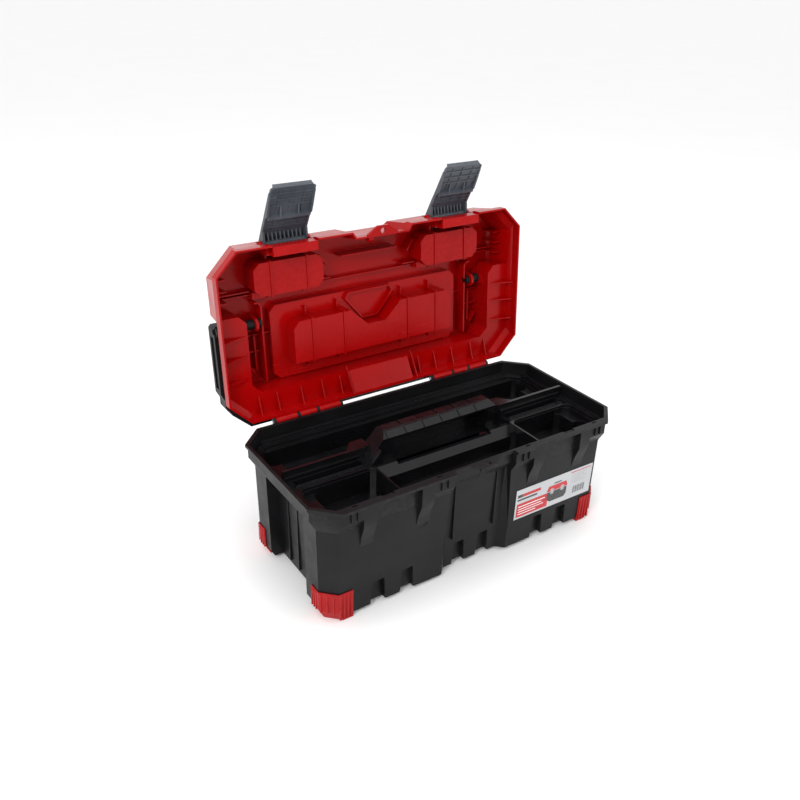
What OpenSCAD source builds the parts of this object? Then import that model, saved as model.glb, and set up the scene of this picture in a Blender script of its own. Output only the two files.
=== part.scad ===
// Hinged plastic toolbox with a lift-out tray, shown with its lid stood open.
// Millimetres. X runs along the length, the front is -Y, up is +Z, the floor is z = 0.
// The lid, its handle and its latches are drawn as if the lid were shut, measured from
// the hinge line (y = -distance from the hinge, z = height over the rim), then swung open.

/* [Tub] */
// half length of the rim
rim_hx = 250; // [240:1:260]
// half depth of the rim
rim_hy = 119.45; // [112:0.05:126]
// height of the rim above the floor
rim_z = 175; // [165:1:185]
// wall thickness
wall = 2.6; // [2:0.1:3.5]
// height of the tub's underside above the floor
belly_z = 6; // [4:0.5:8]
// height where the drafted wall meets the collar's bevel
wall_top = 140; // [135:1:145]
// distance of the sunk end panel from the middle, at the bottom
panel_x = 217.6; // [212:0.1:222]
// half width of the sunk end panel
panel_hy = 52.5; // [48:0.5:58]
// left and right edges of each latch channel
chan_in = 102.5; // [100:0.5:105]
// outer edge of each latch channel
chan_out = 169.5; // [167:0.5:172]

/* [Hinge] */
// distance of the hinge line behind the tub's middle
axis_y = 124.4; // [123:0.1:126]
// height of the hinge line
axis_z = 175.3; // [175.2:0.1:176]
// knuckle radius
knuckle_r = 5; // [4:0.1:6]
// hinge pin radius
pin_r = 2; // [1.5:0.1:2.5]
// angle the lid stands open
lid_open = 94.3; // [85:0.1:100]

/* [Lid] */
// half length of the lid's rim
lid_hx = 251.5; // [248:0.5:254]
// distance of the lid's front edge from the hinge line
lid_front = 246.4; // [243:0.1:248]
// lid height over the rim
lid_h = 65; // [60:1:70]
// lid wall thickness
skin = 2.5; // [2:0.1:3]
// depth of the latch wells, measured as the height left below them
well_w = 28; // [24:1:34]
// height left below the middle well
mid_w = 25; // [22:1:30]

/* [Latches] */
// latch pivot, distance from the hinge line
latch_v = 240.5; // [240:0.1:242]
// latch pivot, height over the rim
latch_w = 36; // [34:0.5:38]
// length from the pivot to the tip
latch_len = 89; // [80:1:100]
// angle the left latch stands off its shut place
left_open = 58; // [50:1:75]
// angle the right latch stands off its shut place
right_open = 57; // [50:1:75]

/* [Handle] */
// handle pivot, distance from the hinge line
grip_v = 131; // [128:0.5:134]
// handle pivot, height over the rim
grip_w = 45; // [42:0.5:48]
// outer half width of the handle
grip_hx = 246; // [243:0.5:248]
// handle pin radius
grip_pin_r = 4; // [3:0.1:5]

/* [Tray] */
// height of the tray's rim
tray_rim = 158; // [155:0.5:160]
// top of the tray's carrying bar
bar_top = 194.5; // [190:0.5:196]
// height of the tray's floor
tray_floor = 122; // [115:1:128]

/* [Hidden] */
$fn = 48;
mid_y = 40.58;           // middle of the open box's depth, moved onto the origin
fit = 0.05;              // radial running clearance on the pins
lug = 3;                 // width of the lugs that hold the latch pins
k_lid = [[84, 118], [123, 149], [154, 186.5]];
k_base = [[80.2, 83.6], [118.4, 122.6], [149.4, 153.6], [186.9, 190.3]];

// ---------------------------------------------------------------- helpers
// closed profile from one side's [half width, height] pairs, grown by e
function prof(a, e = 0) = concat([for (p = a) [p[0] + e, p[1]]],
  [for (i = [len(a) - 1:-1:0]) [-a[i][0] - e, a[i][1]]]);

// distance of a 45 degree corner chamfer c from the middle
function diag(hx, hy, c) = (hx + hy - c) / sqrt(2);

// box outline with chamfered corners
function chbox(x0, x1, y0, y1, c) = [[x0 + c, y0], [x1 - c, y0], [x1, y0 + c],
  [x1, y1 - c], [x1 - c, y1], [x0 + c, y1], [x0, y1 - c], [x0, y0 + c]];

// a (y, z) outline run along X
module along_x(x0, x1) translate([x0, 0, 0]) rotate([90, 0, 90])
  linear_extrude(x1 - x0) children();

// an (x, z) outline run along Y
module along_y(y0, y1) translate([0, y1, 0]) rotate([90, 0, 0])
  linear_extrude(y1 - y0) children();

module block(x0, x1, y0, y1, z0, z1)
  translate([x0, y0, z0]) cube([x1 - x0, y1 - y0, z1 - z0]);

module rod(x0, x1, y, z, r)
  translate([x0, y, z]) rotate([0, 90, 0]) cylinder(r = r, h = x1 - x0);

// eight-sided drafted body: front to back, end to end and across the corners
module octo(yz, xz, dz, cy = 0) intersection() {
  along_x(-300, 300) polygon(yz);
  along_y(-400, 300) polygon(xz);
  translate([0, cy, 0]) rotate([0, 0, 45]) along_y(-400, 400) polygon(dz);
  translate([0, cy, 0]) rotate([0, 0, -45]) along_y(-400, 400) polygon(dz);
}

module both() { children(); mirror([1, 0, 0]) children(); }

// puts a shut-lid piece where the open lid holds it
module open_lid() translate([0, axis_y, axis_z]) rotate([-lid_open, 0, 0]) children();
module frame() translate([0, -mid_y, 0]) children();

// ---------------------------------------------------------------- tub
// front wall line at height z
function wy(z) = 104 + 3.5 * (z - belly_z) / (wall_top - belly_z);
tub_y = [[104, belly_z], [107.5, wall_top], [116.5, 155], [116.5, 171]];
tub_x = [[231, belly_z], [236.1, 16], [238.1, wall_top], [247, 155], [247, 171]];
tub_d = [[diag(231, 104, 18), belly_z], [diag(236.1, 104.3, 18.2), 18.7],
  [diag(238.1, 107.5, 21.5), wall_top - 2.6], [diag(247, 116.5, 30.5), 153],
  [diag(247, 116.5, 30.5), 171]];
in_y = [[104 - wall, belly_z + wall], [107.5 - wall, wall_top + 1.4],
  [116.5 - wall, 156.4], [116.5 - wall, 172.2]];
in_x = [[232 - wall, belly_z + wall], [236.1 - wall, 17.4], [238.1 - wall, wall_top + 1.4],
  [247 - wall, 156.4], [247 - wall, 172.2]];
in_d = [[diag(232, 104, 18) - wall, belly_z + wall], [diag(236.1, 104.3, 18.2) - wall, 20.3],
  [diag(238.1, 107.5, 21.5) - wall, wall_top - 1], [diag(247, 116.5, 30.5) - wall, 154.6],
  [diag(247, 116.5, 30.5) - wall, 172.2]];

module tub_outer(e = 0) octo(prof(tub_y, e), prof(tub_x, e), prof(tub_d, e));

// sunk places, each grown by g for the wall that backs it
module end_panel(g) along_y(-panel_hy - g, panel_hy + g) polygon([[panel_x - g, -1],
  [panel_x + 2.9 - g, wall_top + g], [270, wall_top + g], [270, -1]]);

module middle_panel(g) intersection() {
  along_x(-80, 80) polygon([[-140, -1], [-93.1 + g, -1], [-97 + g, wall_top], [-108 + g, 155],
    [-108 + g, 171], [-111.7 + g, 171.1], [-111.7 + g, 180], [-140, 180]]);
  linear_extrude(180) polygon([[-76 - g, -130], [-76 - g, -124], [-42 - g * 0.5, -90 + g],
    [42 + g * 0.5, -90 + g], [76 + g, -124], [76 + g, -130]]);
  along_y(-140, -80) polygon([[-60 - g, -1], [-51 - g, wall_top], [-50 - g, 180],
    [50 + g, 180], [51 + g, wall_top], [60 + g, -1]]);
}

module channel(g) block(chan_in - g, chan_out + g, -130, -108 + g, 96 - g, 171);

// notch in the wall's lower edge
module inset(x0, x1, yb, g) along_y(-125, yb + g) polygon([[x0 - g, -1], [x1 + g, -1],
  [x1 - 3 + g, 42 + g], [x0 + 3 - g, 42 + g]]);

module sunk(g) {
  both() {
    end_panel(g);
    channel(g);
    inset(chan_in, 125, -96.5, g);
    inset(147, 171, -96.5, g);
    inset(9.8, 31.8, -86, g);
  }
  middle_panel(g);
}

// opening in the rim: a broader flange stays along the front
module mouth() translate([0, 0, rim_z - 3]) linear_extrude(5) polygon([
  [245.5, -84], [245.5, 84], [216, 113.6], [-216, 113.6], [-245.5, 84], [-245.5, -84],
  [-221.5, -108], [221.5, -108]]);

// sloping shoulder beside a latch channel
module shoulder(x0, x1) along_x(x0, x1) polygon([[-105, 108], [-wy(110) - 0.2, 108],
  [-wy(110) - 2.5, 122], [-116.5, 142], [-116.5, 158], [-105, 158]]);

module base_tub() color([0.05, 0.05, 0.055]) difference() {
  union() {
    difference() {
      union() {
        tub_outer();
        // rim
        translate([0, 0, 170.9]) linear_extrude(rim_z - 170.9)
          polygon(chbox(-rim_hx, rim_hx, -rim_hy, rim_hy, 31.9));
        both() {
          shoulder(chan_in - 19, chan_in + 1);
          shoulder(chan_out - 1, chan_out + 18.5);
        }
      }
      difference() {
        octo(prof(in_y), prof(in_x), prof(in_d));
        sunk(wall);
      }
      sunk(0);
      mouth();
    }
    both() {
      // slim ribs on the sunk end panel
      for (y = [-26, 0, 26]) block(panel_x - 1, panel_x + 3.2, y - 1.2, y + 1.2, 12, 128);
      // slim ribs below the rim
      for (x = [62, 72, 196, 205]) block(x, x + 1.6, -118.6, -113, 157, 171.5);
      block(34.5, 36, -98.6, -94, 52, 138);
      // hinge knuckles
      for (k = k_base) {
        rod(k[0], k[1], axis_y, axis_z, knuckle_r);
        along_x(k[0], k[1]) polygon([[116, 154], [116, 174.6], [axis_y - 1, 174.6],
          [axis_y + 3.6, 172]]);
      }
    }
    // padlock eye
    translate([0, 0, 171]) linear_extrude(rim_z - 171) polygon([[-25, -110], [-10, -124.6],
      [-8, -125.6], [8, -125.6], [10, -124.6], [25, -110]]);
    along_x(-3, 3) polygon([[-106, 150], [-106, 171.5], [-113.6, 171.5]]);
  }
  both() {
    // shallow slanting mark below each shoulder
    along_y(-112, -wy(106) + 0.5) polygon([[86, 109], [100, 104], [100, 101], [86, 104]]);
    // catch notches in the flange
    block(141, 159, -113, -107, 170, rim_z + 1);
    block(70, 78, -112.6, -110, 173.4, rim_z + 1);
    block(194, 202, -112.6, -110, 173.4, rim_z + 1);
    // room for the lid's knuckles
    for (k = k_lid) rod(k[0] - 0.4, k[1] + 0.4, axis_y, axis_z, knuckle_r + 0.7);
    rod(60, 200, axis_y, axis_z, pin_r);
  }
  translate([0, -118.2, 160]) cylinder(r = 4, h = 20);
}

// ---------------------------------------------------------------- feet
foot_y = [[105.7, 0], [105.7, 15], [106.6, 43.5]];
foot_x = [[230.2, 0], [237.6, 15], [238, 43.5]];
foot_d = [[diag(230.2, 105.7, 18.3), 0], [diag(237.6, 105.7, 18.7), 15],
  [diag(238, 106.6, 18.9), 43.5]];

module foot() difference() {
  union() {
    intersection() {
      octo(prof(foot_y), prof(foot_x), prof(foot_d));
      block(197, 260, -120, -68, -1, 50);
    }
    // grip ribs
    for (x = [199, 204.6, 210.2, 215.6]) block(x, x + 2.2, -107.4, -104, 3, 42);
    for (y = [-70.6, -76, -81.4]) block(232, 238.9, y - 1.1, y + 1.1, 13, 42);
    for (i = [0:2]) translate([222.6 + i * 6, -100.6 + i * 6, 0]) rotate([0, 0, 45])
      block(-1.1, 1.1, -3, 2, 12, 42);
  }
  tub_outer(0.12);
}

module foot_front_left() color([0.75, 0.04, 0.05]) mirror([1, 0, 0]) foot();
module foot_front_right() color([0.75, 0.04, 0.05]) foot();
module foot_rear_left() color([0.75, 0.04, 0.05]) mirror([1, 0, 0]) mirror([0, 1, 0]) foot();
module foot_rear_right() color([0.75, 0.04, 0.05]) mirror([0, 1, 0]) foot();

module hinge_pin() rod(79, 191.5, axis_y, axis_z, pin_r - 0.02);
module hinge_pin_left() color([0.3, 0.3, 0.32]) mirror([1, 0, 0]) hinge_pin();
module hinge_pin_right() color([0.3, 0.3, 0.32]) hinge_pin();

module label() color([0.85, 0.86, 0.87]) along_x(67, 214) polygon([
  [-wy(50.3) - 0.05, 50.3], [-wy(50.3) - 0.45, 50.3], [-wy(100.5) - 0.45, 100.5],
  [-wy(100.5) - 0.05, 100.5]]);

// ---------------------------------------------------------------- tray
// outline of the tray's body, clear of the tub's sunk end panels
function tbody(hx, y0, y1, px) = [[hx, y0 + 12], [hx, -57], [px, -57], [px, 57], [hx, 57],
  [hx, y1 - 16], [hx - 16, y1], [-hx + 16, y1], [-hx, y1 - 16], [-hx, 57], [-px, 57],
  [-px, -57], [-hx, -57], [-hx, y0 + 12], [-hx + 12, y0], [hx - 12, y0]];

// outline of the tray's rim: its front steps back at the middle
function trim(hx, yf, ym, yr, c) = [[hx, yf + c], [hx - c, yf], [76, yf], [66, ym], [-66, ym],
  [-76, yf], [-hx + c, yf], [-hx, yf + c], [-hx, yr - c], [-hx + c, yr], [hx - c, yr],
  [hx, yr - c]];

// a bin between x0 and x1, y0 and y1, with its floor raised over the end ledge
module bin(x0, x1, y0, y1, zf, c) {
  translate([0, 0, zf]) linear_extrude(60) polygon(chbox(x0, x1, y0, y1, c));
}

module tray() color([0.045, 0.045, 0.05]) difference() {
  union() {
    difference() {
      union() {
        translate([0, 0, tray_floor - 2]) linear_extrude(146.2 - tray_floor)
          polygon(tbody(228, -92, 102, 212.8));
        // rim and the ledge that rests on the tub
        translate([0, 0, 143]) linear_extrude(11.6)
          polygon(trim(234, -101.5, -94, 104.4, 21));
        translate([0, 0, 153.4]) linear_extrude(tray_rim - 153.4)
          polygon(trim(238, -103, -95, 110, 23));
      }
      // three steps along the rear and the ends, then the bins
      bin(-234.6, 234.6, 6, 106.4, 154.8, 18);
      bin(-231, 231, 6, 99, 150, 16);
      bin(-211, 211, 6, 92.5, tray_floor, 5);
      bin(-226, -150, 60, 92.5, tray_floor, 5);
      bin(150, 226, 60, 92.5, tray_floor, 5);
      bin(-228, 228, 6, 92.5, 146.5, 8);
      both() {
        bin(118, 211, -90, -26, tray_floor, 6);
        bin(150, 226, -90, -60, tray_floor, 6);
        bin(118, 228, -99.4, -26, 146.5, 8);
        bin(118, 231, -101, -25, 154.2, 8);
      }
      // narrow trough behind the flat divider
      block(-226, 226, -10, -1, 148, 200);
      // middle front trough, open above
      bin(-115.5, 115.5, -90, -37, tray_floor, 5);
      bin(-115.5, 115.5, -91.4, -35, 150, 3);
      along_x(-115.5, 115.5) polygon([[-24, 160], [-24, 154], [-37.1, 142], [-37.1, 160]]);
      // flat divider's top
      block(-231, 231, -24.1, -9.9, 155, 200);
      // hollow behind the carrying bar
      bin(-80, 80, -22, 8, 148, 3);
    }
    // tall partition wings
    both() {
      along_y(0, 4.4) polygon([[110, 140], [231, 146.6], [236, 154.5], [237.5, 160],
        [237.5, 174.6], [116, 174.6], [108, 160]]);
      along_y(-1.2, 5.6) polygon([[112, 163], [237, 163], [237, 165.4], [112, 165.4]]);
      // outward flare of the wing beside the bar
      translate([0, 0, 146]) linear_extrude(28.6) polygon([[108, 2], [150, 2], [150, 4.4],
        [142, 4.4], [128, 22], [108, 22]]);
      // gusset on the bar's front
      along_y(-22, -13) polygon([[100, 154], [123, 154], [104, 176]]);
      // grooves stand up on the divider
      block(126, 226, -12.4, -10.2, 153, 156.4);
    }
    // carrying bar and its sloping posts
    intersection() {
      along_y(-14, 13) polygon([[-124, 148], [-124, 155], [-93, 190], [-89, bar_top],
        [89, bar_top], [93, 190], [124, 155], [124, 148]]);
      along_x(-130, 130) polygon([[-14, 140], [-14, 186.5], [-4, bar_top], [10, bar_top],
        [13, bar_top - 3], [13, 140]]);
    }
    along_y(-20, 13) polygon([[-124, 148], [-124, 156], [-104, 156], [-104, 148]]);
    along_y(-20, 13) polygon([[124, 148], [124, 156], [104, 156], [104, 148]]);
    // finger pads along the bar
    for (x = [-75:30:75]) along_x(x - 13.6, x + 13.6) polygon([[-13, 185], [-14.4, 185.2],
      [-15.1, 187.2], [-6.6, 193.9], [-3.6, bar_top - 0.2], [-3.6, 190]]);
  }
  // finger gap under the bar, closed behind
  along_y(-40, 10.4) polygon([[-80, 150.5], [-80, 179.5], [-76, 184], [76, 184], [80, 179.5],
    [80, 150.5]]);
  // slots across the bar's top
  for (x = [-60:30:60]) block(x - 0.9, x + 0.9, -2, 14, bar_top - 1.2, bar_top + 2);
  // underside hollow of the bar's posts
  both() along_y(-11.4, 10.4) polygon([[84, 120], [84, 172], [96, 172], [112, 153],
    [112, 120]]);
  // hollow below the middle divider
  along_x(-113, 113) polygon([[-34, 119], [-34, 139], [-23, 148], [3.5, 148], [3.5, 119]]);
  both() along_x(116, 224) polygon([[-23.8, 119], [-23.8, 145.6], [3.6, 145.6], [3.6, 119]]);
}

// ---------------------------------------------------------------- lid
lid_y = [[-5, 0.3], [-5, 13], [-6, 19], [-8, 60], [-14, lid_h], [-234, lid_h], [-240, 60],
  [-244, 19], [-lid_front, 13], [-lid_front, 0.3]];
lid_x = [[lid_hx, 0.3], [lid_hx, 13], [248, 19], [242, 60], [236, lid_h]];
lid_c = -125.7;
lid_d = [[diag(lid_hx, 120.7, 31), 0.3], [diag(lid_hx, 120.7, 31), 13], [233.8, 19],
  [225.8, 60], [218, lid_h]];
cav_y = [[-5 - skin, -1], [-5 - skin, 13.5], [-6 - skin, 19.4], [-8 - skin, 59],
  [-13 - skin, lid_h - skin], [-235 + skin, lid_h - skin], [-240 + skin, 59],
  [-244 + skin, 19.4], [-lid_front + skin, 13.5], [-lid_front + skin, -1]];
cav_x = [[lid_hx - skin, -1], [lid_hx - skin, 13.5], [248 - skin, 19.4], [242 - skin, 59],
  [237 - skin, lid_h - skin]];
cav_d = [[diag(lid_hx, 120.7, 31) - skin, -1], [diag(lid_hx, 120.7, 31) - skin, 13.5],
  [233.8 - skin, 19.4], [225.8 - skin, 59], [219 - skin, lid_h - skin]];

// sunk places in the lid's outside, each grown by g for the skin that backs it:
// room round the ends and the rear for the folded handle
module arm_room(g) translate([0, 0, 24 - g]) linear_extrude(90) polygon([
  [-1, 5], [-1, -36 - g], [196 - g, -36 - g], [209.5 - g, -49 - g * 0.6],
  [209.5 - g, -140 - g * 0.6], [219 - g * 0.6, -150.5 - g], [270, -150.5 - g], [270, 5]]);
// pocket in the front wall for a latch
module latch_room(g) block(101.5 - g, 170.5 + g, -260, -233 + g, 16 - g, 57 + g);
// well behind each latch
module well(g) translate([0, 0, well_w + skin - g]) linear_extrude(60)
  polygon(chbox(85.5 - g, 185.5 + g, -215.5 - g, -174.5 + g, 8 + g * 0.4));
// shallow tray in the lid's top, and the deep well in its middle
module top_tray(g) translate([0, 0, 50 + skin - g]) linear_extrude(60)
  polygon(chbox(-157.5 - g, 157.5 + g, -147.5 - g, -42.5 + g, 9));
module mid_well(g) translate([0, 0, mid_w + skin - g]) linear_extrude(60) polygon([
  [-133.5 - g, -68.5 + g], [-133.5 - g, -116 - g * 0.4], [-126 - g * 0.4, -125.5 - g],
  [-44 + g * 0.4, -125.5 - g], [-16 + g * 0.4, -99.5 - g], [16 - g * 0.4, -99.5 - g],
  [44 - g * 0.4, -125.5 - g], [126 + g * 0.4, -125.5 - g], [133.5 + g, -116 - g * 0.4],
  [133.5 + g, -68.5 + g]]);
// sunk middle of the front wall
module lid_middle(g) intersection() {
  along_x(-80, 80) polygon([[-300, -5], [-238 + g, -5], [-238 + g, 13], [-236 + g, 19],
    [-232.5 + g, 60], [-226 + g, lid_h + 5], [-300, lid_h + 5]]);
  translate([0, 0, -5]) linear_extrude(90) polygon([[-49 - g, -270], [-49 - g, -247],
    [-39 - g, -233 + g], [39 + g, -233 + g], [49 + g, -247], [49 + g, -270]]);
}

module lid_sunk(g) {
  both() {
    arm_room(g);
    latch_room(g);
    well(g);
  }
  top_tray(g);
  mid_well(g);
  lid_middle(g);
}

module lid_raw() difference() {
  octo(lid_y, prof(lid_x), prof(lid_d), lid_c);
  difference() {
    octo(cav_y, prof(cav_x), prof(cav_d), lid_c);
    lid_sunk(skin);
    both() {
      // step beside each latch well, and the bars below the latches
      block(86, 185, -174, -165, 46, lid_h);
      block(chan_in + 0.5, chan_out - 0.5, -244, -231, -2, 5);
    }
  }
  lid_sunk(0);
  both() block(101.5, 170.5, -260, -244, -1, 17);
}

module ribs() {
  both() {
    // two ribs along each latch well, running down its sides
    for (x = [108, 163]) {
      block(x - 1, x + 1, -220, -170, well_w - 1.6, well_w + 1);
      block(x - 1, x + 1, -220, -217, well_w, 62);
      block(x - 1, x + 1, -173, -164, 44, 62);
      block(x - 1, x + 1, -230.8, -219, 40, 63);
    }
    // slim ribs on the front wall behind the latch pocket
    for (x = [115, 128, 142, 155]) block(x - 0.8, x + 0.8, -231, -226, 17, 61);
    // diagonal braces beside the wells
    block(186, 236, -176, -174.2, 52, 63);
    block(62, 83.5, -176, -174.2, 48, 62.8);
    translate([78, -208, 44]) rotate([0, 0, -52]) block(-16, 4, -0.9, 0.9, 0, 18.8);
    // end wall ribs
    for (v = [170, 186, 202]) block(226, 239.4, -v - 0.8, -v + 0.8, 34, 61);
    for (v = [64, 96, 124]) along_y(-v - 0.8, -v + 0.8) polygon([[207, 22], [244, 22],
      [247, 8], [246, 8]]);
    // pivot cheeks that carry the handle pins
    along_x(184, 188) polygon([[-grip_v - 12, 63], [-grip_v - 9, 38], [-grip_v - 4, 33.5],
      [-grip_v + 4, 33.5], [-grip_v + 9, 38], [-grip_v + 14, 63]]);
    along_x(202, 208) polygon([[-grip_v - 11, 63], [-grip_v - 8, 37], [-grip_v + 8, 37],
      [-grip_v + 11, 63]]);
    block(160, 207, -112.4, -110.6, 55, 63);
    // wall beside the slot, with its rounded end
    block(174.4, 176.6, -153, -44, 42, 63);
    translate([183, -153, 42]) difference() {
      cylinder(r = 8.6, h = 21);
      translate([0, 0, -1]) cylinder(r = 6.4, h = 24);
      translate([-12, 0, -1]) cube([24, 12, 24]);
      translate([2, -12, -1]) cube([24, 24, 24]);
    }
    // strap and boss between the pivot and the rear
    block(186, 188, -112, -62, 48, 63);
    block(180, 207, -90, -88.4, 50, 63);
    translate([196, -66, 46]) rotate([0, 0, 40]) block(-1, 1, -9, 9, 0, 17);
    // rear wall ribs and gussets
    for (x = [70, 100, 134, 172, 200]) along_x(x - 0.8, x + 0.8) polygon([[-6, 12], [-8, 22],
      [-34, 22], [-34, 20.9]]);
    for (x = [92, 140]) along_x(x - 0.8, x + 0.8) polygon([[-36, 23], [-37.4, 22.6],
      [-40.4, 51], [-36, 60]]);
    // braces on the middle well
    for (x = [55.5, 107]) {
      block(x - 1, x + 1, -130, -64, mid_w - 1.6, mid_w + 1);
      block(x - 1, x + 1, -130.4, -127, mid_w, 51);
      block(x - 1, x + 1, -142, -127, 44, 51);
      block(x - 1, x + 1, -67, -52, 44, 51);
    }
    // lugs for the latch pins
    for (x = [101.5 - lug, 170.5]) {
      rod(x, x + lug, -latch_v, latch_w, 5.2);
      along_x(x, x + lug) polygon([[-latch_v - 3.5, latch_w + 4], [-latch_v - 3.5, latch_w - 4],
        [-237, latch_w - 16], [-236, latch_w + 16]]);
    }
    // posts of the rim behind the latch bars
    for (x = [106, 120, 152, 166]) block(x - 0.8, x + 0.8, -235, -230, 4, 15.5);
    // hinge knuckles
    for (k = k_lid) {
      rod(k[0], k[1], 0, 0, knuckle_r);
      along_x(k[0], k[1]) polygon([[-7.2, 0.35], [-7.2, 9], [-5, 9], [-1, 4.6], [-1, 0.35]]);
    }
  }
  // long rib in front of the wells' rear edge
  block(-226, 226, -170.8, -169, 54, 63);
  block(-48, 48, -206, -204.4, 40, 63);
  // raised frame of the plain centre panel
  difference() {
    translate([0, 0, 44]) linear_extrude(7) polygon([[-42, -140], [-36, -149], [36, -149],
      [42, -140], [14, -106], [-14, -106]]);
    translate([0, 0, 43]) linear_extrude(10) polygon([[-38.6, -140], [-34.6, -146.6],
      [34.6, -146.6], [38.6, -140], [12.6, -108.4], [-12.6, -108.4]]);
  }
  // sloping panel at the rear middle
  along_x(-54, 50) polygon([[-6, 4], [-6, 23], [-37.5, 23], [-37.5, 20.8]]);
  both() along_x(56, 57.6) polygon([[-6, 1.5], [-6, 23], [-44, 23], [-37.5, 18]]);
  // padlock eye
  translate([0, 0, 0.3]) linear_extrude(4) polygon([[-25, -236], [-25, -239.5], [-10, -249],
    [-8, -250], [8, -250], [10, -249], [25, -239.5], [25, -236]]);
  rod(-22, -14, -233, 8, 5);
}

module lid_shell() color([0.72, 0.03, 0.045]) open_lid() difference() {
  union() {
    lid_raw();
    ribs();
  }
  both() {
    rod(60, 200, 0, 0, pin_r + fit);
    rod(170, 250, -grip_v, grip_w, grip_pin_r + 0.02);
    rod(90, 180, -latch_v, latch_w, pin_r + 0.02);
  }
  translate([0, -242.6, -5]) cylinder(r = 4, h = 20);
}

module handle_pin() {
  rod(178, 243, -grip_v, grip_w, grip_pin_r);
  rod(178, 183.6, -grip_v, grip_w, 7);
  rod(188.4, 201.6, -grip_v, grip_w, 7);
}
module handle_pin_left() color([0.05, 0.05, 0.05]) open_lid() mirror([1, 0, 0]) handle_pin();
module handle_pin_right() color([0.05, 0.05, 0.05]) open_lid() handle_pin();

module latch_pin() rod(98.7, 173.3, -latch_v, latch_w, pin_r);
module latch_pin_left() color([0.3, 0.3, 0.32]) open_lid() mirror([1, 0, 0]) latch_pin();
module latch_pin_right() color([0.3, 0.3, 0.32]) open_lid() latch_pin();

// ---------------------------------------------------------------- handle
module arm() translate([0, 0, 43]) linear_extrude(20) polygon([[grip_hx, -133],
  [grip_hx - 2, -139], [226, -139], [224, -137], [224, -33], [203, -15], [0, -15],
  [0, 20], [206, 20], [232, -4], [241, -18], [241, -29], [grip_hx, -39]]);

module carry_handle() color([0.04, 0.04, 0.045]) open_lid() difference() {
  union() {
    both() {
      arm();
      rod(211, 244, -grip_v, grip_w, 8);
    }
    // rounded grip with finger ribs
    along_x(-96, 96) polygon([[-12, 42], [14, 40], [20.6, 44], [20.6, 61], [17, 65], [-12, 65],
      [-17, 61], [-17, 45]]);
  }
  both() {
    rod(205, 260, -grip_v, grip_w, grip_pin_r + fit);
    // bevel on the arm's end, so that it turns clear of the lid
    along_x(200, 260) polygon([[-142, 56], [-142, 67], [-131, 67]]);
    // hollowed outer side of each arm
    block(243.8, 260, -122, -46, 48, 58);
    translate([0, -grip_v, grip_w]) along_x(220, 260) difference() {
      translate([-30, -30]) square([60, 120]);
      circle(r = 19);
      translate([-11, -6]) square([90, 80]);
    }
    // hollow underside between the grip and the corners
    block(104, 200, -11.6, 16.6, 42, 59.5);
  }
  for (x = [-84:12:84]) block(x - 0.8, x + 0.8, 19.6, 30, 44, 62);
}

// ---------------------------------------------------------------- latches
// drawn from the pivot: y = -(distance outwards), z = -(distance towards the tip)
module latch_body() {
  difference() {
    union() {
      // outer plate, narrower at the tip
      along_y(-9.6, -6.4) polygon([[-33.4, 5.4], [33.4, 5.4], [33.4, -26], [31, -latch_len + 3],
        [28, -latch_len], [-28, -latch_len], [-31, -latch_len + 3], [-33.4, -26]]);
      // tip lip
      along_x(-28, 28) polygon([[-9.6, -latch_len], [-9.6, -latch_len + 4],
        [-13.2, -latch_len - 0.6]]);
      rod(-33.4, 33.4, 0, 0, 4.6);
      both() {
        // side flanges
        along_x(30.4, 33.4) polygon([[-9, 5.4], [0, 4.5], [4.2, 1], [4.2, -6], [-0.5, -13],
          [-4.4, -18.5], [-4.4, -40], [-1.5, -46], [-3, -60], [-6, -80], [-9, -80]]);
        along_x(29.8, 32.4) polygon([[-9, -76], [-5, -76], [-6, -latch_len + 3],
          [-9, -latch_len + 3]]);
        // gussets behind the hook
        along_x(12, 14) polygon([[-7, -42], [0, -42], [-1, -46], [-7, -62]]);
      }
      // comb of ribs at the pivot
      for (x = [-24:6:24]) along_x(x - 0.9, x + 0.9) polygon([[-7, 4.5], [0, 4.5], [2.6, 0],
        [0.6, -6.4], [-7, -14.5]]);
      // hook that catches below the rim
      along_x(-31, 31) polygon([[-7, -40.8], [-0.4, -40.8], [0, -41.4], [0, -44.4],
        [-7, -46]]);
      // cross ribs
      for (z = [-24, -32, -60, -70, -80]) block(-31, 31, -7, -4.8, z - 1, z + 1);
      for (x = [-18, 0, 18]) block(x - 0.9, x + 0.9, -7, -5, -latch_len + 4, -46);
      for (x = [-18, 0, 18]) block(x - 0.9, x + 0.9, -7, -5, -41, -20);
    }
    rod(-40, 40, 0, 0, pin_r + fit);
  }
}

module latch_at(s, a) open_lid() translate([s * 136, -latch_v, latch_w]) rotate([-a, 0, 0])
  latch_body();
module latch_left() color([0.2, 0.21, 0.22]) latch_at(-1, left_open);
module latch_right() color([0.2, 0.21, 0.22]) latch_at(1, right_open);

frame() {
  base_tub();
  foot_front_left();
  foot_front_right();
  foot_rear_left();
  foot_rear_right();
  hinge_pin_left();
  hinge_pin_right();
  label();
  tray();
  lid_shell();
  handle_pin_left();
  handle_pin_right();
  latch_pin_left();
  latch_pin_right();
  carry_handle();
  latch_left();
  latch_right();
}
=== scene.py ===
"""Hinged plastic toolbox with a lift-out tray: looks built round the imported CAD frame."""
import math

import bmesh
import bpy
from mathutils import Matrix, Vector


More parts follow.
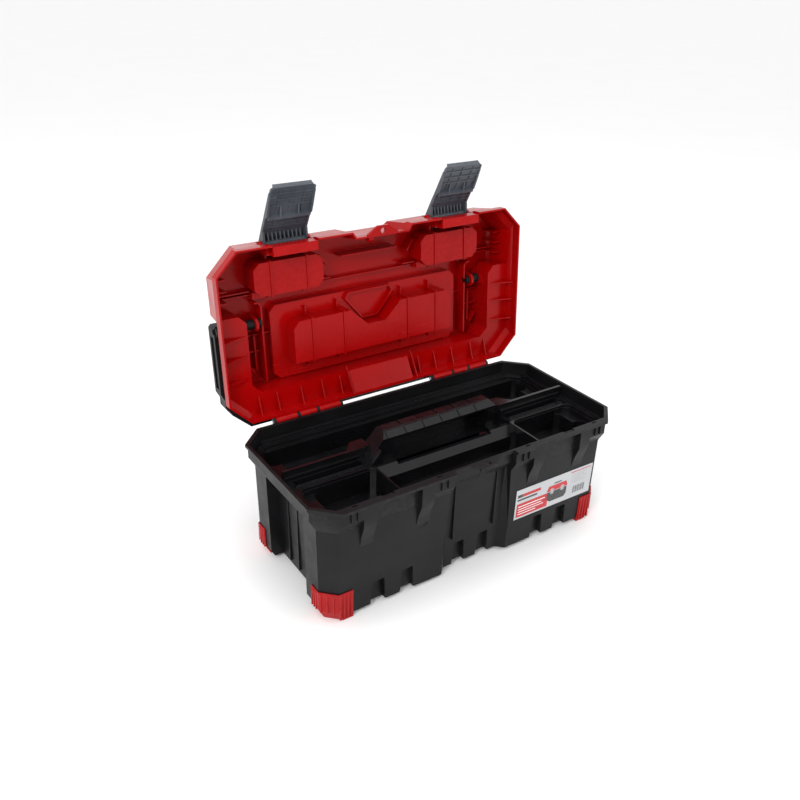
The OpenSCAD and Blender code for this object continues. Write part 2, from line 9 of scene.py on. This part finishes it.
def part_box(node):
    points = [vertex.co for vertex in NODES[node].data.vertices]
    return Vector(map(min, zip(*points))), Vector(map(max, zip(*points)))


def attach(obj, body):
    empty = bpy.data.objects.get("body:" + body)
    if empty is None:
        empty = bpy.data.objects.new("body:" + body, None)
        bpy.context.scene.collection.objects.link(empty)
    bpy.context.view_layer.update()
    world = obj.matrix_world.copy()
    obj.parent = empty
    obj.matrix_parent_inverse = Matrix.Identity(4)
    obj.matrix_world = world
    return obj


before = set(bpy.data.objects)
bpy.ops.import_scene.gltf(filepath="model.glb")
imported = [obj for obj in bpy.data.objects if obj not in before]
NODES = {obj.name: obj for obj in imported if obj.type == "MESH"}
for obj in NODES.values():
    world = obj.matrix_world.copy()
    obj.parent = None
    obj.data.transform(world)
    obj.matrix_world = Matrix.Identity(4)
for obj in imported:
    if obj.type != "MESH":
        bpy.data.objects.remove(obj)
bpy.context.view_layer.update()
MM = 0.001

# ------------------------------------------------------------------ node helpers


def new_material(name):
    mat = bpy.data.materials.new(name)
    mat.use_nodes = True
    nt = mat.node_tree
    bsdf = nt.nodes["Principled BSDF"]
    return mat, nt, bsdf


def object_coord(nt):
    return nt.nodes.new("ShaderNodeTexCoord").outputs["Object"]


def noise(nt, coord, scale, detail=3.0, rough=0.55):
    n = nt.nodes.new("ShaderNodeTexNoise")
    n.inputs["Scale"].default_value = scale
    n.inputs["Detail"].default_value = detail
    n.inputs["Roughness"].default_value = rough
    nt.links.new(coord, n.inputs["Vector"])
    return n.outputs["Fac"]


def ramp(nt, fac, stops):
    r = nt.nodes.new("ShaderNodeValToRGB")
    for el, (pos, col) in zip(r.color_ramp.elements, stops):
        el.position = pos
        el.color = (*col, 1.0)
    nt.links.new(fac, r.inputs["Fac"])
    return r.outputs["Color"]


def remap(nt, fac, lo, hi, out_lo, out_hi):
    m = nt.nodes.new("ShaderNodeMapRange")
    for key, val in (("From Min", lo), ("From Max", hi), ("To Min", out_lo), ("To Max", out_hi)):
        m.inputs[key].default_value = val
    nt.links.new(fac, m.inputs["Value"])
    return m.outputs["Result"]


def multiply(nt, a, b):
    m = nt.nodes.new("ShaderNodeMath")
    m.operation = "MULTIPLY"
    nt.links.new(a, m.inputs[0])
    nt.links.new(b, m.inputs[1])
    return m.outputs[0]


def mix_color(nt, fac, a, b):
    """Mix from the linked colour a to the constant colour b."""
    m = nt.nodes.new("ShaderNodeMix")
    m.data_type = "RGBA"
    m.blend_type = "MIX"
    nt.links.new(fac, m.inputs["Factor"])
    nt.links.new(a, m.inputs["A"])
    m.inputs["B"].default_value = (*b, 1.0)
    return m.outputs["Result"]


def bump_node(nt, height, strength, distance, below=None):
    b = nt.nodes.new("ShaderNodeBump")
    b.inputs["Strength"].default_value = strength
    b.inputs["Distance"].default_value = distance
    nt.links.new(height, b.inputs["Height"])
    if below is not None:
        nt.links.new(below, b.inputs["Normal"])
    return b.outputs["Normal"]


# ------------------------------------------------------------------ materials

EDGE_FROM, EDGE_TO = 0.51, 0.58      # pointiness at which the paler edge colour starts and is full
STREAK_STRETCH = (0.25, 1.0, 1.0)    # moulding streaks run along the length


def plastic(name, dark, light, rub_and_sheen_colour, rough, grain, bump, rub_and_sheen_amount, specular=0.5, mottle=22.0):
    """Moulded plastic: mottled colour, fine grain, scuffs, and paler edges that are rubbed wear
    on most parts and a painted edge highlight on the glossy tray and lid.
    """
    mat, nt, bsdf = new_material(name)
    coord = object_coord(nt)
    body = ramp(nt, noise(nt, coord, mottle, 4.0), [(0.32, dark), (0.7, light)])

    # paler edges, broken up so that they are uneven: rubbed wear on most parts, a painted edge
    # highlight on the tray and lid
    geo = nt.nodes.new("ShaderNodeNewGeometry")
    edge = remap(nt, geo.outputs["Pointiness"], EDGE_FROM, EDGE_TO, 0.0, 1.0)
    breakup = remap(nt, noise(nt, coord, 140.0, 5.0, 0.7), 0.42, 0.66, 0.0, rub_and_sheen_amount)
    nt.links.new(mix_color(nt, multiply(nt, edge, breakup), body, rub_and_sheen_colour),
                 bsdf.inputs["Base Color"])

    # streaks along the flow of the mould move the roughness
    streak = nt.nodes.new("ShaderNodeMapping")
    streak.inputs["Scale"].default_value = STREAK_STRETCH
    nt.links.new(coord, streak.inputs["Vector"])
    rub = noise(nt, streak.outputs["Vector"], 46.0, 6.0, 0.65)
    nt.links.new(remap(nt, rub, 0.3, 0.75, rough - 0.06, rough + 0.1), bsdf.inputs["Roughness"])

    # fine grain, with the slow sink of a moulded wall over it
    grained = bump_node(nt, noise(nt, coord, grain, 2.0, 0.6), bump, 0.2 * MM)
    sunk = bump_node(nt, noise(nt, coord, 60.0, 2.0, 0.5), 0.05, 1.0 * MM, grained)
    nt.links.new(sunk, bsdf.inputs["Normal"])
    bsdf.inputs["Specular IOR Level"].default_value = specular
    return mat


def steel(name):
    mat, nt, bsdf = new_material(name)
    coord = object_coord(nt)
    bsdf.inputs["Metallic"].default_value = 1.0
    col = ramp(nt, noise(nt, coord, 300.0, 4.0),
               [(0.3, (0.34, 0.34, 0.35)), (0.7, (0.56, 0.56, 0.57))])
    nt.links.new(col, bsdf.inputs["Base Color"])
    nt.links.new(remap(nt, noise(nt, coord, 700.0), 0.3, 0.7, 0.26, 0.42),
                 bsdf.inputs["Roughness"])
    return mat


def ink(name, dark, light):
    mat, nt, bsdf = new_material(name)
    coord = object_coord(nt)
    nt.links.new(ramp(nt, noise(nt, coord, 260.0, 3.0), [(0.3, dark), (0.7, light)]),
                 bsdf.inputs["Base Color"])
    nt.links.new(remap(nt, noise(nt, coord, 500.0), 0.3, 0.7, 0.24, 0.36),
                 bsdf.inputs["Roughness"])
    return mat


BLACK = plastic("tub_black", (0.0042, 0.0042, 0.0047), (0.0078, 0.0078, 0.0088),
                (0.04, 0.04, 0.043), 0.38, grain=1300.0, bump=0.1, rub_and_sheen_amount=0.3, specular=0.18)
# the tray's paler edge colour is a painted highlight standing in for glossy edge reflections
TRAY = plastic("tray_black", (0.0028, 0.0028, 0.0034), (0.0056, 0.0056, 0.0066),
               (0.03, 0.03, 0.032), 0.22, grain=1500.0, bump=0.02, rub_and_sheen_amount=0.3, specular=0.36)
# the lid's paler edge colour is a painted highlight standing in for bright edge reflections
RED = plastic("lid_red", (0.30, 0.0004, 0.0006), (0.38, 0.0009, 0.0014),
              (0.46, 0.008, 0.009), 0.2, grain=1500.0, bump=0.01, rub_and_sheen_amount=0.35, specular=0.15,
              mottle=7.0)
FOOT = plastic("foot_red", (0.30, 0.0025, 0.0035), (0.39, 0.005, 0.0065),
               (0.52, 0.04, 0.036), 0.36, grain=1300.0, bump=0.08, rub_and_sheen_amount=0.5, specular=0.22)
GREY = plastic("latch_grey", (0.047, 0.054, 0.067), (0.072, 0.081, 0.098),
               (0.17, 0.18, 0.2), 0.34, grain=1300.0, bump=0.08, rub_and_sheen_amount=0.4, specular=0.35)
GRIP = plastic("handle_black", (0.0045, 0.0045, 0.005), (0.0085, 0.0085, 0.0095),
               (0.04, 0.04, 0.042), 0.45, grain=1000.0, bump=0.2, rub_and_sheen_amount=0.3, specular=0.2)
STEEL = steel("pin_steel")
FILM = plastic("label_film", (0.42, 0.432, 0.448), (0.5, 0.51, 0.525),
               (0.58, 0.58, 0.58), 0.3, grain=2200.0, bump=0.03, rub_and_sheen_amount=0.1, mottle=9.0)

INKS = [ink("ink_red", (0.44, 0.01, 0.016), (0.54, 0.02, 0.028)),
        ink("ink_dark", (0.02, 0.02, 0.022), (0.05, 0.05, 0.052)),
        ink("ink_pale", (0.74, 0.7, 0.7), (0.84, 0.8, 0.8)),
        ink("ink_grey", (0.32, 0.33, 0.34), (0.42, 0.43, 0.44))]
INK_RED, INK_DARK, INK_PALE, INK_GREY = range(len(INKS))

# ------------------------------------------------------------------ CAD nodes

# material and width of the moulded edge radius in mm
LOOK = {
    "base_tub": (BLACK, 0.5), "tray": (TRAY, 0.6), "lid_shell": (RED, 0.5),
    "carry_handle": (GRIP, 0.9), "handle_pin_left": (GRIP, 0.4), "handle_pin_right": (GRIP, 0.4),
    "latch_left": (GREY, 0.35), "latch_right": (GREY, 0.35), "label": (FILM, 0.0),
    "hinge_pin_left": (STEEL, 0.2), "hinge_pin_right": (STEEL, 0.2),
    "latch_pin_left": (STEEL, 0.2), "latch_pin_right": (STEEL, 0.2),
    "foot_front_left": (FOOT, 0.45), "foot_front_right": (FOOT, 0.45),
    "foot_rear_left": (FOOT, 0.45), "foot_rear_right": (FOOT, 0.45),
}
WELD_MM = 0.02
BEVEL_FROM = math.radians(28)


def dress(obj, mat, bevel_mm):
    obj.data.materials.clear()
    obj.data.materials.append(mat)
    weld = obj.modifiers.new("weld", "WELD")
    weld.merge_threshold = WELD_MM * MM
    if bevel_mm:
        bev = obj.modifiers.new("edge", "BEVEL")
        bev.width = bevel_mm * MM
        bev.segments = 2
        bev.limit_method = "ANGLE"
        bev.angle_limit = BEVEL_FROM
        bev.use_clamp_overlap = True
        bev.harden_normals = False
    wn = obj.modifiers.new("normals", "WEIGHTED_NORMAL")
    wn.keep_sharp = False
    wn.weight = 80


for node_name, (node_mat, node_bevel) in LOOK.items():
    dress(NODES[node_name], node_mat, node_bevel)

# ------------------------------------------------------------------ camera

TARGET = Vector((-0.0609, -0.03971, 0.2303))
AZ, EL, ROLL = math.radians(-34.18), math.radians(27.61), math.radians(1.5)
DISTANCE = 1.1206
LENS_MM, SENSOR_MM = 37.68, 36.0

back = Vector((math.sin(AZ) * math.cos(EL), -math.cos(AZ) * math.cos(EL), math.sin(EL)))
side = Vector((0, 0, 1)).cross(back).normalized()
up = back.cross(side)
side_r = math.cos(ROLL) * side + math.sin(ROLL) * up
up_r = -math.sin(ROLL) * side + math.cos(ROLL) * up

cam_data = bpy.data.cameras.new("camera")
cam_data.sensor_width = SENSOR_MM
cam_data.lens = LENS_MM
cam_data.clip_start = 0.05
cam = bpy.data.objects.new("camera", cam_data)
turn = Matrix((side_r, up_r, back)).transposed().to_4x4()
cam.matrix_world = Matrix.Translation(TARGET + back * DISTANCE) @ turn
bpy.context.scene.collection.objects.link(cam)
bpy.context.scene.camera = cam

# ------------------------------------------------------------------ floor

FLOOR_HALF = 30.0


def floor_material():
    mat, nt, bsdf = new_material("studio_floor")
    nt.links.new(ramp(nt, noise(nt, object_coord(nt), 3.0),
                      [(0.3, (0.94, 0.94, 0.94)), (0.7, (0.955, 0.955, 0.955))]),
                 bsdf.inputs["Base Color"])
    bsdf.inputs["Roughness"].default_value = 0.85
    bsdf.inputs["Specular IOR Level"].default_value = 0.15
    return mat


bm = bmesh.new()
bmesh.ops.create_grid(bm, x_segments=8, y_segments=8, size=FLOOR_HALF)
floor_mesh = bpy.data.meshes.new("floor")
bm.to_mesh(floor_mesh)
bm.free()
floor = bpy.data.objects.new("floor", floor_mesh)
floor.data.materials.append(floor_material())
bpy.context.scene.collection.objects.link(floor)

# ------------------------------------------------------------------ light

LIGHTS_AIM = Vector((0, 0, 0.2))


def area(name, where, size, power):
    data = bpy.data.lights.new(name, "AREA")
    data.shape = "RECTANGLE"
    data.size, data.size_y = size
    data.energy = power
    obj = bpy.data.objects.new(name, data)
    obj.location = where
    obj.rotation_euler = (LIGHTS_AIM - Vector(where)).to_track_quat("-Z", "Y").to_euler()
    bpy.context.scene.collection.objects.link(obj)


area("key", (-1.6, -1.05, 1.5), (0.6, 0.6), 20)
area("top", (0.1, 0.1, 2.4), (1.4, 1.0), 14)
area("fill", (1.7, -1.6, 0.9), (0.8, 1.2), 4)

world = bpy.data.worlds.new("studio")
world.use_nodes = True
background = world.node_tree.nodes["Background"]
background.inputs["Color"].default_value = (1, 1, 1, 1)
background.inputs["Strength"].default_value = 1.0
bpy.context.scene.world = world
bpy.context.scene.view_settings.view_transform = "Standard"

# ------------------------------------------------------------------ label print

# The label leans with the tub's wall. Print is laid out in mm from its lower left corner.
LABEL_LO, LABEL_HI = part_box("label")
FILM_THICK = 0.45 * MM
LAYER_1, LAYER_2, LAYER_3 = 0.06 * MM, 0.11 * MM, 0.16 * MM    # stacked print layers

PRINT = []


def label_point(u, v, lift):
    """u along the label from its left edge, v up from its lower edge, both in mm."""
    t = v * MM / (LABEL_HI.z - LABEL_LO.z)
    y_low, y_high = LABEL_HI.y - FILM_THICK, LABEL_LO.y
    return Vector((LABEL_LO.x + u * MM, y_low + (y_high - y_low) * t - lift, LABEL_LO.z + v * MM))


def patch(ink_index, points, lift=LAYER_1):
    PRINT.append((ink_index, [label_point(u, v, lift) for u, v in points]))


def bar(ink_index, u0, u1, v0, v1, lift=LAYER_1):
    patch(ink_index, [(u0, v0), (u1, v0), (u1, v1), (u0, v1)], lift)


# red block with pale lines
bar(INK_RED, 3, 62, 3, 26)
bar(INK_PALE, 6, 56, 19.5, 21.2, LAYER_2)
bar(INK_PALE, 6, 50, 15.2, 16.6, LAYER_2)
bar(INK_PALE, 6, 54, 11.0, 12.4, LAYER_2)
bar(INK_PALE, 6, 40, 6.8, 8.2, LAYER_2)
# heading bars
bar(INK_RED, 3, 46, 36.5, 41.5)
bar(INK_DARK, 3, 12, 36.5, 41.5, LAYER_2)
bar(INK_DARK, 3, 40, 31.0, 34.0)
# small toolbox pictogram: tub, lid, two latches, handle
patch(INK_DARK, [(60, 14), (66, 9), (94, 9), (98, 14), (98, 26), (60, 26)], LAYER_2)
patch(INK_RED, [(58.5, 27), (99.5, 27), (96, 36), (62, 36)], LAYER_2)
patch(INK_GREY, [(66, 22), (72, 22), (72, 31), (66, 31)], LAYER_3)
patch(INK_GREY, [(86, 22), (92, 22), (92, 31), (86, 31)], LAYER_3)
bar(INK_DARK, 72, 86, 38, 40)
# plain lines and upright stripes on the right
for k in range(5):
    bar(INK_GREY, 106, 136 - 5 * (k % 2), 41 - 3.4 * k, 42.2 - 3.4 * k)
for k in range(14):
    bar(INK_DARK, 112 + 1.7 * k, 112.6 + 1.7 * k + 0.5 * (k % 3 == 0), 8, 20)
bar(INK_RED, 104, 143, 45.2, 46.6)

print_mesh = bpy.data.meshes.new("label_print")
verts, faces = [], []
for _, points in PRINT:
    faces.append(tuple(range(len(verts), len(verts) + len(points))))
    verts += [tuple(p) for p in points]
print_mesh.from_pydata(verts, [], faces)
for ink_mat in INKS:
    print_mesh.materials.append(ink_mat)
for poly, (ink_index, _) in zip(print_mesh.polygons, PRINT):
    poly.material_index = ink_index
printed = bpy.data.objects.new("label_print", print_mesh)
bpy.context.scene.collection.objects.link(printed)
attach(printed, "base")

# ------------------------------------------------------------------ final update

bpy.context.view_layer.update()
